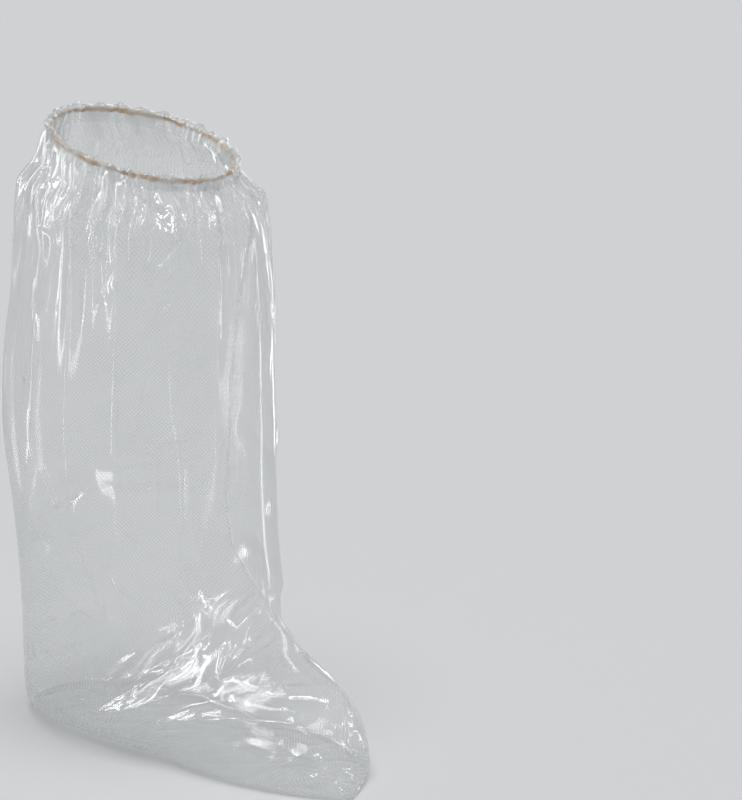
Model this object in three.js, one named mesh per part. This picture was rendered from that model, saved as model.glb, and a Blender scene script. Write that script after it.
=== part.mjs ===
// Knee-length shoe cover of clear embossed film, in the form that it takes in use: a slack bag with a leg and
// a foot, gathered by an elastic band in a turned hem at its mouth.
// Millimetres. +X runs to the toe, +Y to the left, +Z up. The origin is on the inner face of the sole, under
// the middle of the leg.
import * as THREE from "three";

// Driving dimensions: the film's wall, the elastic's circle, how its plane leans and where the seam meets it,
// the elastic's section and its height above that plane, the rounding at the edge of the sole, the height of
// the front seam, and the pleats at the mouth with their sizes relative to each other.
const FILM_WALL = 1;
const NECK = { x: 16, z: 415, radius: 64.5, frontDownDeg: 12, leftDownDeg: 6, seam: 0.34 };
const ELASTIC = { width: 3.4, thickness: 1, up: 2.2 };
const SOLE_EDGE = 5;
const SEAM_RIDGE = 3;
const GATHERS = 14;
const GATHER_SIZES = [1, 0.55, 0.85, 0.45, 1.1, 0.65, 0.9];

// How finely the film is faceted
const AROUND = 56;
const ELASTIC_SIDES = 48;

// Rows of a table as objects, each value under its column's name.
function table(columns, rows) {
  return rows.map((row) => Object.fromEntries(columns.map((column, i) => [column, row[i]])));
}

// The hem, from its inner edge over the top of the ruffle and down outside the elastic.
// out: distance from the neck's circle. up: height above the neck's plane. gather: height of the pleats.
const HEM = table(["ring", "out", "up", "gather"], [
  ["hem edge", -1.9, -6, 0.3],
  ["inside elastic", -1.9, 3.4, 0.3],
  ["ruffle inside", -1.3, 5.4, 0.6],
  ["ruffle top", 1.8, 7.2, 1.6],
  ["ruffle outside", 4, 5, 1.4],
  ["outside elastic", 2.6, 1.2, 0.5],
  ["under elastic", 3.4, -3.5, 1.2],
]);

// Rings of the bag below the hem, down the leg, round the ankle and along the foot to the toe.
// front: the ring's point on the line of the front. back: its point on the back, heel and sole line, which lies
// below the floor where the sole is pressed flat. half: half the ring's width. side: how far it lies to the
// left. drop: how far its left side hangs, for each unit of width. seam: how far the seam has wandered to the
// left of the front, in radians. gather: height of the pleats. rows: how many rows of facets lead to it from
// the ring before.
const BODY = table("ring frontX frontZ backX backZ half side drop seam gather rows".split(" "), [
  ["collar", 92, 387, -53, 409, 75, 0, 0.08, 0.34, 3.6, 1],
  ["shoulder", 99, 376, -65, 394, 84, 0, 0.05, 0.34, 4.4, 1],
  ["upper leg", 103, 355, -69, 366, 87, 0, 0.02, 0.22, 3.2, 2],
  ["leg", 105, 325, -72, 325, 90, 0, 0, 0.12, 1.2, 2],
  ["calf", 106, 275, -81, 269, 94, 0, 0, 0, 0, 2],
  ["shin", 106, 228, -83, 220, 95, 0, 0, -0.04, 0, 2],
  ["ankle", 107, 185, -74, 155, 92, 0, 0, -0.08, 0, 2],
  ["bend", 112, 152, -72, 90, 88, 0, 0, -0.07, 0, 2],
  ["heel top", 121, 126, -79, 35, 82, 1, 0, 0.03, 0, 3],
  ["heel", 128, 111, -86, -6, 69, 2, 0, 0.14, 0, 3],
  ["heel sole", 134, 101, -65, -25, 63, 2, 0, 0.22, 0, 3],
  ["waist", 141, 91, -18, -25, 62, 3, 0, 0.3, 0, 3],
  ["instep", 150, 80, 35, -25, 59, 5, 0, 0.39, 0, 2],
  ["ball", 161, 69, 88, -25, 61, 8, 0, 0.48, 0, 2],
  ["vamp", 175, 59, 136, -25, 56, 8, 0, 0.48, 0, 2],
  ["toe", 190, 52, 176, -24, 46, 6, 0, 0.48, 0, 2],
  ["toe cap", 204, 42, 206, -20, 33, 3, 0, 0.36, 0, 2],
  ["toe front", 216, 27, 221, -12, 19, -2, 0, 0.25, 0, 1],
  ["toe corner", 228, 9, 232, -4, 5, -7, 0, 0, 0, 2],
]);

// Main folds of the bag, each a straight crest on one side of it, seen from that side.
// side: -1 is the right of the foot, 1 the left. from and to: the crest's ends. width: how far the fold
// spreads beside its crest. rise: height of the crest, or depth if negative.
const FOLDS = table(["fold", "side", "fromX", "fromZ", "toX", "toZ", "width", "rise"], [
  ["heel to instep", -1, 4, 17, 119, 119, 8, 5],
  ["hollow below it", -1, 40, 40, 124, 93, 9, -4],
  ["heel to vamp", -1, 4, 17, 132, 66, 7, 5],
  ["low on the foot", -1, 72, 24, 159, 46, 7, 4],
  ["low on the toe", -1, 159, 46, 205, 37, 7, 4],
  ["high on the toe", -1, 135, 60, 193, 49, 6, 3],
  ["toe edge", -1, 190, 14, 216, 16, 6, 3],
  ["behind the heel", -1, -30, 64, -27, 30, 7, 4],
  ["across the shin", -1, 50, 208, 104, 219, 9, -3],
  ["heel to instep", 1, 10, 14, 106, 100, 9, 5],
  ["hollow below it", 1, 46, 36, 124, 88, 9, -4],
  ["heel to vamp", 1, 10, 14, 130, 60, 8, 5],
  ["along the foot", 1, 60, 22, 164, 34, 8, 3],
  ["hollow before the toe", 1, 136, 76, 158, 42, 7, -4],
  ["left of the toe", 1, 150, 65, 196, 40, 7, 3],
  ["behind the heel", 1, -34, 70, -30, 26, 8, 4],
  ["across the shin", 1, 10, 200, 76, 186, 10, -3],
]);

const filmMaterial = new THREE.MeshStandardMaterial({
  color: 0xe9ecea,
  roughness: 0.22,
  metalness: 0,
  transparent: true,
  opacity: 0.35,
});
const elasticMaterial = new THREE.MeshStandardMaterial({ color: 0xc9a574, roughness: 0.75, metalness: 0 });

// The direction out of the neck, leaning to the sides where its plane is lower.
function neckAxis() {
  const frontDrop = Math.tan(THREE.MathUtils.degToRad(NECK.frontDownDeg));
  const leftDrop = Math.tan(THREE.MathUtils.degToRad(NECK.leftDownDeg));
  return new THREE.Vector3(frontDrop, leftDrop, 1).normalize();
}

// A ring in a plane parallel to the neck's own, which is lower at the front and on the left.
function neckRing({ out, up, gather }) {
  const radius = NECK.radius + out;
  const axis = neckAxis();
  const toFront = new THREE.Vector3(1, 0, -axis.x / axis.z).normalize();
  return {
    middle: new THREE.Vector3(NECK.x, 0, NECK.z).addScaledVector(axis, up),
    toFront: toFront.clone().multiplyScalar(radius),
    toLeft: axis.clone().cross(toFront).multiplyScalar(radius),
    gather,
    seam: NECK.seam,
    ridge: 0,
  };
}

// A ring of the bag from its row in the table.
function bagRing(row) {
  const front = new THREE.Vector3(row.frontX, row.side, row.frontZ);
  const back = new THREE.Vector3(row.backX, row.side, row.backZ);
  return {
    middle: front.clone().add(back).multiplyScalar(0.5),
    toFront: front.clone().sub(back).multiplyScalar(0.5),
    toLeft: new THREE.Vector3(0, row.half, -row.half * row.drop),
    gather: row.gather,
    seam: row.seam,
  };
}

// The bag's rows of facets, drawn smoothly through the rings of the table from the last ring of the hem.
function bagRows(lastOfHem) {
  const keys = [lastOfHem, ...BODY.map(bagRing)];
  const smooth = (part) => new THREE.CatmullRomCurve3(keys.map((key) => key[part]));
  const middle = smooth("middle");
  const toFront = smooth("toFront");
  const toLeft = smooth("toLeft");
  const smoothValue = (part) => new THREE.SplineCurve(keys.map((key, i) => new THREE.Vector2(i, key[part])));
  const gather = smoothValue("gather");
  const seam = smoothValue("seam");
  const rowAt = (along) => ({
    middle: middle.getPoint(along),
    toFront: toFront.getPoint(along),
    toLeft: toLeft.getPoint(along),
    gather: Math.max(0, gather.getPoint(along).y),
    seam: seam.getPoint(along).y,
    ridge: SEAM_RIDGE,
  });
  return BODY.flatMap(({ rows }, i) =>
    Array.from({ length: rows }, (_, k) => rowAt((i + (k + 1) / rows) / BODY.length)),
  );
}

// Height above the floor, with all that is drawn below it pressed flat as the sole, and a rounded edge.
function pressedFlat(z) {
  if (z >= SOLE_EDGE) return z;
  if (z <= -SOLE_EDGE) return 0;
  return (z + SOLE_EDGE) ** 2 / (4 * SOLE_EDGE);
}

// How far a pleat of the gathered mouth pushes the film out, crests and hollows by turns.
function pleat(turn, row) {
  const turns = (turn * GATHERS) / (2 * Math.PI);
  const size = GATHER_SIZES[Math.floor(turns) % GATHER_SIZES.length];
  return row.gather * size * Math.cos(2 * Math.PI * turns);
}

// How far the folds push the film out at a point. Each fold dies away beside its crest and at its ends.
function foldRise(point) {
  const seen = new THREE.Vector3(point.x, 0, point.z);
  let rise = 0;
  for (const fold of FOLDS) {
    if (Math.sign(point.y) !== fold.side) continue;
    const start = new THREE.Vector3(fold.fromX, 0, fold.fromZ);
    const crest = new THREE.Line3(start, new THREE.Vector3(fold.toX, 0, fold.toZ));
    const along = crest.closestPointToPointParameter(seen, true);
    const beside = crest.at(along, new THREE.Vector3()).distanceTo(seen) / fold.width;
    rise += fold.rise * Math.sin(Math.PI * along) * Math.exp(-beside * beside);
  }
  return rise;
}

// The middle of the film's wall at one step round a ring. Step 0 is on the front seam, and the steps near it
// have wandered with it.
function filmPoint(row, step) {
  const turn = (2 * Math.PI * step) / AROUND;
  const angle = turn + (row.seam * (1 + Math.cos(turn))) / 2;
  const outward = row.toFront.clone().multiplyScalar(Math.cos(angle));
  outward.addScaledVector(row.toLeft, Math.sin(angle));
  const point = row.middle.clone().add(outward);
  const ridge = step === 0 ? row.ridge : 0;
  const push = pleat(turn, row) + ridge + foldRise(point);
  point.addScaledVector(outward.normalize(), push);
  point.z = pressedFlat(point.z) - FILM_WALL / 2;
  return point;
}

// The film's outward direction at each point, from its neighbours along and around the bag.
function filmNormal(grid, i, step) {
  const above = grid[Math.max(i - 1, 0)][step];
  const below = grid[Math.min(i + 1, grid.length - 1)][step];
  const next = grid[i][(step + 1) % AROUND];
  const last = grid[i][(step + AROUND - 1) % AROUND];
  return next.clone().sub(last).cross(above.clone().sub(below)).normalize();
}

// One closed solid: the film's two faces, a rim round the hem's edge and a closed toe end.
function filmGeometry(rows) {
  const grid = rows.map((row) => Array.from({ length: AROUND }, (_, step) => filmPoint(row, step)));
  const points = [];
  const triangles = [];
  const faces = [0.5, -0.5].map((share) =>
    grid.map((ring, i) =>
      ring.map((point, step) => {
        points.push(point.clone().addScaledVector(filmNormal(grid, i, step), share * FILM_WALL));
        return points.length - 1;
      }),
    ),
  );
  const quad = (a, b, c, d) => triangles.push(a, b, c, a, c, d);
  const [outer, inner] = faces;
  const last = rows.length - 1;
  const toeCentre = grid[last].reduce((sum, point) => sum.add(point), new THREE.Vector3());
  toeCentre.divideScalar(AROUND);
  const toeTips = [0.5, -0.5].map((share) => {
    points.push(toeCentre.clone().add(new THREE.Vector3(share * FILM_WALL, 0, 0)));
    return points.length - 1;
  });
  for (let step = 0; step < AROUND; step++) {
    const next = (step + 1) % AROUND;
    for (let i = 0; i < last; i++) {
      quad(outer[i][step], outer[i + 1][step], outer[i + 1][next], outer[i][next]);
      quad(inner[i][step], inner[i][next], inner[i + 1][next], inner[i + 1][step]);
    }
    quad(outer[0][step], outer[0][next], inner[0][next], inner[0][step]);
    triangles.push(outer[last][step], toeTips[0], outer[last][next]);
    triangles.push(inner[last][step], inner[last][next], toeTips[1]);
  }
  const geometry = new THREE.BufferGeometry().setFromPoints(points);
  geometry.setIndex(triangles);
  geometry.computeVertexNormals();
  return geometry;
}

function makeFilm() {
  const hem = HEM.map(neckRing);
  const rows = [...hem, ...bagRows(hem[hem.length - 1])];
  const mesh = new THREE.Mesh(filmGeometry(rows), filmMaterial);
  mesh.name = "film_bag";
  return mesh;
}

// A flat band round the neck, inside the turned hem.
function makeElastic() {
  const inside = NECK.radius - ELASTIC.thickness / 2;
  const outside = NECK.radius + ELASTIC.thickness / 2;
  const low = ELASTIC.up - ELASTIC.width / 2;
  const high = ELASTIC.up + ELASTIC.width / 2;
  const profile = [
    new THREE.Vector2(inside, low),
    new THREE.Vector2(outside, low),
    new THREE.Vector2(outside, high),
    new THREE.Vector2(inside, high),
    new THREE.Vector2(inside, low),
  ];
  const band = new THREE.LatheGeometry(profile, ELASTIC_SIDES).rotateX(Math.PI / 2);
  const mesh = new THREE.Mesh(band, elasticMaterial);
  mesh.name = "elastic_band";
  mesh.position.set(NECK.x, 0, NECK.z);
  mesh.quaternion.setFromUnitVectors(new THREE.Vector3(0, 0, 1), neckAxis());
  return mesh;
}

const cover = new THREE.Group();
cover.add(makeFilm(), makeElastic());

export default cover;
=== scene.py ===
# %% [markdown]
# # A knee-length shoe cover of clear film
#
# The cover is a slack bag of thin embossed film. An elastic in its turned hem gathers the mouth, a welded
# seam runs down the front, and the foot is full of long folds that start at the heel. This lesson makes the
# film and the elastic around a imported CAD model, in metres, in the CAD model's own frame.

# %% Load the frame
import math

import bpy
import numpy as np
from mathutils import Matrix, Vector


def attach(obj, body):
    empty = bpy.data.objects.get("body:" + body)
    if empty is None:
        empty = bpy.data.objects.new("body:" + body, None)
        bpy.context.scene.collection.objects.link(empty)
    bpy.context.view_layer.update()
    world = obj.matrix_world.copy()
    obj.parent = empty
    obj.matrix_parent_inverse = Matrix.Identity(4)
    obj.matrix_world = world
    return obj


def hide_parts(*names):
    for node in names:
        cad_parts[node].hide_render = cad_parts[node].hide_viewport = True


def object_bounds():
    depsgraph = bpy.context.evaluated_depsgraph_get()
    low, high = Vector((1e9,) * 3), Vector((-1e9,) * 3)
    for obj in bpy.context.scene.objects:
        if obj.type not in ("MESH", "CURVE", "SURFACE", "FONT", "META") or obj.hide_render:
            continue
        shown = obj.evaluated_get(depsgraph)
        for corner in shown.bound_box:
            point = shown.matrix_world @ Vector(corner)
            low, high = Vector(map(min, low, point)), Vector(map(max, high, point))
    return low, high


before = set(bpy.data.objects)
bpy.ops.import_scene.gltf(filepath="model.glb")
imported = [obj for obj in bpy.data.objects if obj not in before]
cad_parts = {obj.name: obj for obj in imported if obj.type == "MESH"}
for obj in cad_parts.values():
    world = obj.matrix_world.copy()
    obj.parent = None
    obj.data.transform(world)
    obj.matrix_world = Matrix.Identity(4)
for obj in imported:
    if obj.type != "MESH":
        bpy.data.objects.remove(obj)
cad_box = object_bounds()
MM = 0.001
print("CAD nodes:", sorted(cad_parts), "box:", [tuple(corner) for corner in cad_box])

# %% [markdown]
# ## The bag's rings
#
# The film could be sculpted or draped over a form. A stack of rings is easier to steer: each ring is an
# ellipse that goes round the bag, from the hem down the leg and, turning like a fan at the ankle, along the
# foot to the toe. Two short tables hold the rings that matter, in millimetres, and smooth curves are drawn
# through them. They are the same rings as in the CAD solid, so the film lies where the solid is.

# %% Tables of rings


def table(columns, rows):
    """Rows of a table as dictionaries, each value under its column's name."""
    return [dict(zip(columns.split(), row)) for row in rows]


NECK = {"x": 16, "z": 415, "radius": 64.5, "front_down": 12, "left_down": 6}

# out: from the neck's circle. up: above the neck's plane. broad, half, fine: heights of the three sizes of
# gathers.
HEM = table("ring out up broad half fine", [
    ("hem edge", -1.9, -6, 0, 0, 0.4),
    ("inside elastic", -1.9, 3.4, 0, 0, 0.4),
    ("ruffle inside", -1.3, 5.4, 0.2, 0.6, 0.7),
    ("ruffle top", 1.8, 7.2, 0.8, 1.4, 0.4),
    ("ruffle outside", 4.0, 5.0, 0.6, 1.3, 0.7),
    ("outside elastic", 2.6, 1.2, 0.1, 0.5, 1.1),
    ("under elastic", 3.4, -3.5, 0.6, 1.7, 1.6),
])

# front_x to back_z: the ring's points on the front seam and on the line of the back, heel and sole.
# half_width and side: half the ring's width and its shift to the left. drop: how far its left side hangs.
BODY = table("ring front_x front_z back_x back_z half_width side drop broad half fine", [
    ("collar", 92, 387, -53, 409, 75, 0, 0.08, 2.6, 2.8, 1.3),
    ("shoulder", 99, 376, -65, 394, 84, 0, 0.05, 4.0, 2.4, 0.5),
    ("upper leg", 103, 355, -69, 366, 87, 0, 0.02, 3.2, 1.0, 0),
    ("leg", 105, 325, -72, 325, 90, 0, 0, 2.0, 0.3, 0),
    ("calf", 106, 275, -81, 269, 94, 0, 0, 1.2, 0, 0),
    ("shin", 106, 228, -83, 220, 95, 0, 0, 0.8, 0, 0),
    ("ankle", 107, 185, -74, 155, 92, 0, 0, 0.4, 0, 0),
    ("bend", 112, 152, -72, 90, 88, 0, 0, 0, 0, 0),
    ("heel top", 121, 126, -79, 35, 82, 1, 0, 0, 0, 0),
    ("heel", 128, 111, -86, -6, 69, 2, 0, 0, 0, 0),
    ("heel sole", 134, 101, -65, -25, 63, 2, 0, 0, 0, 0),
    ("waist", 141, 91, -18, -25, 62, 3, 0, 0, 0, 0),
    ("instep", 150, 80, 35, -25, 59, 5, 0, 0, 0, 0),
    ("ball", 161, 69, 88, -25, 61, 8, 0, 0, 0, 0),
    ("vamp", 175, 59, 136, -25, 56, 8, 0, 0, 0, 0),
    ("toe", 190, 52, 176, -24, 46, 6, 0, 0, 0, 0),
    ("toe cap", 204, 42, 206, -20, 33, 3, 0, 0, 0, 0),
    ("toe front", 216, 27, 221, -12, 19, -2, 0, 0, 0, 0),
    ("toe corner", 228, 9, 232, -4, 5, -7, 0, 0, 0, 0),
])
print(len(HEM), "rings in the hem and", len(BODY), "in the bag")

# %% Rings as three vectors: middle, reach to the front, reach to the left


def unit(v):
    """Vectors of length 1 along the last axis."""
    return v / np.maximum(np.linalg.norm(v, axis=-1, keepdims=True), 1e-12)


def dot(a, b):
    """Products summed along the last axis, in the same order on every run."""
    return (a * b).sum(-1)


neck_middle = np.array([NECK["x"], 0.0, NECK["z"]])
neck_axis = unit(np.array([
    math.tan(math.radians(NECK["front_down"])),
    math.tan(math.radians(NECK["left_down"])),
    1.0,
]))
neck_front = unit(np.array([1.0, 0.0, -neck_axis[0] / neck_axis[2]]))
neck_left = np.cross(neck_axis, neck_front)


def neck_ring(row):
    """A ring in a plane parallel to the neck's, which is lower at the front and on the left."""
    radius = NECK["radius"] + row["out"]
    return neck_middle + neck_axis * row["up"], neck_front * radius, neck_left * radius


def bag_ring(row):
    """A ring of the bag below the hem."""
    front = np.array([row["front_x"], row["side"], row["front_z"]], float)
    back = np.array([row["back_x"], row["side"], row["back_z"]], float)
    to_left = np.array([0.0, row["half_width"], -row["half_width"] * row["drop"]])
    return (front + back) / 2, (front - back) / 2, to_left


def smooth_through(keys, counts):
    """Points on a centripetal Catmull-Rom curve through the keys, counts[i] of them on stretch i."""
    ends = np.vstack([2 * keys[0] - keys[1], keys, 2 * keys[-1] - keys[-2]])
    points = [keys[:1]]
    for i, count in enumerate(counts):
        a, b, c, d = ends[i : i + 4]
        ab, bc, cd = (max(np.linalg.norm(q - p), 1e-6) ** 0.5 for p, q in ((a, b), (b, c), (c, d)))
        slope_b = ((b - a) / ab - (c - a) / (ab + bc) + (c - b) / bc) * bc
        slope_c = ((c - b) / bc - (d - b) / (bc + cd) + (d - c) / cd) * bc
        t = (np.arange(1, count + 1) / count)[:, None]
        points.append(
            (2 * t**3 - 3 * t**2 + 1) * b
            + (t**3 - 2 * t**2 + t) * slope_b
            + (3 * t**2 - 2 * t**3) * c
            + (t**3 - t**2) * slope_c
        )
    return np.vstack(points)


LEG_STEP = 3.8
FOOT_STEP = 2.6
HEM_STEP = 1.3
LEG_STRETCHES = 8
hem_keys = np.array([neck_ring(row) for row in HEM])
bag_keys = np.array([hem_keys[-1]] + [bag_ring(row) for row in BODY])


def row_counts(keys, step):
    """How many rows each stretch takes, so that no two rows are further apart than the step."""
    lines = [keys[:, 0] + keys[:, 1], keys[:, 0] - keys[:, 1], keys[:, 0] + keys[:, 2]]
    longest = np.max([np.linalg.norm(np.diff(line, axis=0), axis=1) for line in lines], axis=0)
    return np.ceil(longest / step).astype(int)


hem_counts = row_counts(hem_keys, HEM_STEP)
leg_counts = row_counts(bag_keys[: LEG_STRETCHES + 1], LEG_STEP)
bag_counts = np.concatenate([leg_counts, row_counts(bag_keys[LEG_STRETCHES:], FOOT_STEP)])
hem_parts = [smooth_through(hem_keys[:, part], hem_counts) for part in range(3)]
bag_parts = [smooth_through(bag_keys[:, part], bag_counts)[1:] for part in range(3)]
rows = np.stack([np.vstack(pair) for pair in zip(hem_parts, bag_parts)], axis=1) * MM
hem_rows = int(hem_counts.sum()) + 1
key_rows = np.concatenate([[0], np.cumsum(np.concatenate([hem_counts, bag_counts]))])
row_index = np.arange(len(rows))
print(len(rows), "rows, of which", hem_rows, "are hem")

# %% [markdown]
# ## The plain bag
#
# The rings are sampled at angles that lie closer together at the front, where the seam and most creases are.
# The seam isn't straight: the slack bag is twisted a little at the shoulder and over the instep, so the
# angles of each row are turned by a small amount at the front. What the rings draw below the floor is pressed
# flat, with a rounded edge, because the film lies flat under the foot.

# %% Sample the rings
AROUND = 280
FRONT_FINER = 0.35
SOLE_EDGE = 5 * MM
SOLE_LOW = -0.5 * MM

# Where the seam lies, in radians to the left of the front, from the hem to the toe.
SEAM_WANDER = table("ring turn", [
    ("hem edge", 0.34), ("shoulder", 0.34), ("upper leg", 0.22), ("leg", 0.12), ("calf", 0.0),
    ("ankle", -0.08), ("bend", -0.07), ("heel", 0.14), ("waist", 0.30), ("ball", 0.48), ("toe", 0.48),
    ("toe front", 0.25), ("toe corner", 0.0),
])
row_of_ring = dict(zip([row["ring"] for row in HEM + BODY], key_rows))


def along_rows(rings_and_values):
    """Values given at some rings, and filled in evenly for the rows between."""
    at = [row_of_ring[ring] for ring, _ in rings_and_values]
    return np.interp(row_index, at, [value for _, value in rings_and_values])


def column_along_rows(rows_of_table, column):
    """One column of a table of rings, filled in for every row."""
    return along_rows([(row["ring"], row[column]) for row in rows_of_table])


turn = np.arange(AROUND) * 2 * np.pi / AROUND
plain_angle = turn - FRONT_FINER * np.sin(turn)
wander = column_along_rows(SEAM_WANDER, "turn")
angle = plain_angle[None, :] + wander[:, None] * (1 + np.cos(plain_angle))[None, :] / 2


def pressed_flat(z):
    """Heights with all that is drawn below the floor pressed flat."""
    edge = (np.clip(z, -SOLE_EDGE, SOLE_EDGE) + SOLE_EDGE) ** 2 / (4 * SOLE_EDGE)
    return np.where(z > SOLE_EDGE, z, edge) + SOLE_LOW


def step_to(grid, right):
    """The grid turned so that each point's place holds its neighbour to the right."""
    return np.roll(grid, -right, axis=1)


def grid_normals(grid):
    """Outward normals of a grid of points, rows down the bag and columns round it."""
    around = step_to(grid, 1) - step_to(grid, -1)
    along = np.gradient(grid, axis=0)
    return unit(np.cross(along, around))


middle, to_front, to_left = (rows[:, part][:, None, :] for part in range(3))
plain_bag = middle + to_front * np.cos(angle)[..., None] + to_left * np.sin(angle)[..., None]
plain_bag[..., 2] = pressed_flat(plain_bag[..., 2])
outward = grid_normals(plain_bag)
print("plain bag of", plain_bag.shape[0] * plain_bag.shape[1], "points")

# %% [markdown]
# ## Gathers at the mouth
#
# The mouth is cut about as wide as the leg, and the elastic pulls it in to two thirds of that. The film has
# nowhere to go but in and out, so it stands in pleats: many fine ones on the elastic, which join by twos
# further down until broad ones run out on the leg. A sum of three waves with sharp crests does this, if their
# pitch, size and lean vary, because no hand-gathered mouth is even.

# %% Three sizes of gathers
GATHERS = 14
GATHER_SIZES = np.array([1, 0.55, 0.85, 0.45, 1.1, 0.65, 0.9])


def crested_wave(phase, roundness=0.9):
    """A wave from -1 to 1 with sharp crests and round hollows, or with round crests if roundness is 2."""
    return 1 - 2 * np.abs(np.sin(phase / 2)) ** roundness


def uneven(angles, down):
    """Angles with an uneven pitch, and a lean that grows further down from the elastic."""
    pitch = 0.05 * np.sin(3 * angles + 1.3) + 0.03 * np.sin(7 * angles + 0.4)
    lean = 0.10 * np.sin(2 * angles + 2.2) + 0.06 * np.sin(5 * angles + 0.9)
    return angles + pitch + lean * down


down = np.clip((row_index - hem_rows) / (row_of_ring["upper leg"] - hem_rows), 0, 1)[:, None]
broad, half, fine = (
    column_along_rows(HEM + BODY, column)[:, None] * MM for column in ("broad", "half", "fine")
)
gather_turn = uneven(angle, down)
size = GATHER_SIZES[np.floor(gather_turn * GATHERS / (2 * np.pi) + 0.5).astype(int) % len(GATHER_SIZES)]
fine_share = np.clip(0.7 + 0.5 * np.sin(9 * angle + 2.1) + 0.4 * np.sin(4 * angle + 1), 0.15, 1.3)
gathers = (
    broad * (size * (1 + crested_wave(GATHERS * gather_turn)) - 1)
    + half * (0.75 + 0.45 * np.sin(5 * angle + 0.7)) * crested_wave(2 * GATHERS * gather_turn + 0.9)
    + fine * fine_share * crested_wave(4 * GATHERS * gather_turn + 0.3, 1.5)
)
in_hem = along_rows([
    ("hem edge", 0), ("inside elastic", 0.7), ("ruffle top", 0.4), ("outside elastic", 1),
    ("under elastic", 0.5), ("shoulder", 0.1), ("leg", 0),
])[:, None]
heaped = np.clip(0.6 + 0.8 * np.sin(11 * angle + 0.6) + 0.5 * np.sin(17 * angle + 2), 0, 1)
on_crest = np.clip(0.5 + 0.5 * crested_wave(4 * GATHERS * gather_turn + 0.3), 0.1, 1)
bunched = in_hem * np.maximum(on_crest, heaped)
print("gathers reach", round(float(gathers.max()) / MM, 1), "mm out")

# %% [markdown]
# ## Folds and creases
#
# Film keeps a crease where it was once bent, so its folds have sharp crests, unlike those of cloth. Each fold
# here is a short chain of points on the bag, with a width and a rise, in millimetres. Those that matter most
# are the fan from the heel to the instep, the ridges along the toe, and the tucks below the elastic.

# %% Chains of points for the folds
RIGHT_FOLDS = [
    ("heel to instep", [(4, -59, 17), (47, -64, 55), (84, -56, 87), (108, -41, 107), (119, -24, 119)], 6, 7),
    ("hollow below it", [(34, -62, 34), (66, -60, 56), (94, -54, 76), (120, -36, 92)], 8, -5),
    ("middle of the fan", [(4, -59, 17), (46, -62, 43), (83, -55, 67), (110, -42, 82)], 4, 2.2),
    ("heel to vamp", [(4, -59, 17), (59, -60, 33), (94, -56, 49), (112, -49, 58), (132, -38, 65)], 5, 7),
    ("low on the foot", [(72, -57, 24), (102, -54, 35), (159, -39, 46), (189, -21, 45), (205, 20, 37)], 5, 4),
    ("high on the toe", [(135, -39, 60), (175, -12, 58), (193, 20, 49)], 4, 3),
    ("toe edge", [(196, -33, 26), (207, -10, 25), (215, 18, 23)], 4, 2.5),
    ("behind the heel", [(-33, -72, 62), (-26, -72, 46), (-32, -59, 23)], 5, 4),
    ("across the shin", [(56, -85, 209), (85, -60, 214), (104, -23, 218)], 7, -2.5),
    ("below the shin", [(59, -83, 199), (88, -58, 202), (106, -11, 200)], 5, -2),
    ("slack at the ankle", [(41, -89, 164), (49, -84, 129), (58, -78, 106)], 8, -2.5),
    ("ankle to instep", [(20, -88, 120), (62, -76, 96), (100, -52, 98)], 7, 2.5),
    ("under the heel fan", [(-31, -57, 15), (9, -59, 15), (58, -51, 7)], 5, 2.5),
    ("cross crease a", [(96, -50, 89), (93, -49, 68)], 2.5, 1.6),
    ("cross crease b", [(130, -23, 92), (132, -36, 69)], 2.5, 1.8),
    ("cross crease c", [(138, -15, 88), (133, -34, 72)], 2.5, 1.6),
    ("cross crease d", [(88, -59, 53), (107, -44, 76)], 2.5, 1.4),
    ("cross crease e", [(60, -62, 44), (72, -60, 64)], 2.5, 1.2),
    ("front of the instep", [(126, 0, 122), (132, -2, 109), (135, -16, 92)], 3, 1.8),
    ("toe hook", [(221, -11, 19), (224, -6, 16), (226, -1, 11), (230, -7, 5)], 2, 1.5),
    ("toe crease", [(206, -32, 11), (215, -22, 15), (222, -12, 17)], 2, 1.5),
    ("low toe crease", [(202, -32, 7), (219, -21, 10), (226, -5, 12)], 2, -1.5),
    ("leg diagonal", [(98, -35, 344), (86, -57, 310), (73, -71, 285)], 2.5, 0.9),
    ("leg tick", [(64, -75, 344), (78, -66, 327)], 2.5, 0.8),
    ("calf diagonal", [(84, -62, 225), (96, -42, 231), (104, -22, 236)], 4, 1.5),
    ("long crease at the back", [(-30, -71, 391), (-3, -88, 347), (8, -92, 300), (6, -93, 240)], 3, 1.6),
    ("short crease beside it", [(-15, -70, 397), (12, -86, 363), (10, -90, 321)], 3, 1.6),
    ("shoulder to front", [(68, -42, 410), (88, -36, 387), (96, -20, 368)], 4, 3),
    ("shoulder at the seam", [(82, -17, 409), (96, -7, 384), (107, -1, 369)], 4, 3),
    ("shoulder to the right", [(44, -60, 413), (25, -84, 384), (6, -86, 369)], 4, 3.5),
    ("across the shoulder", [(60, -52, 406), (78, -45, 390), (92, -31, 382)], 4, -2.5),
    ("tuck at the right", [(9, -72, 410), (0, -81, 397)], 3, 2.5),
    ("tuck at the front", [(65, -47, 413), (72, -46, 396)], 3, 2.5),
    ("tuck beside the seam", [(75, -34, 410), (80, -23, 397), (84, -10, 394)], 3, 2.5),
    ("tuck over the seam", [(85, -6, 407), (80, 20, 393), (87, 34, 385)], 3, 2.5),
]
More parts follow.
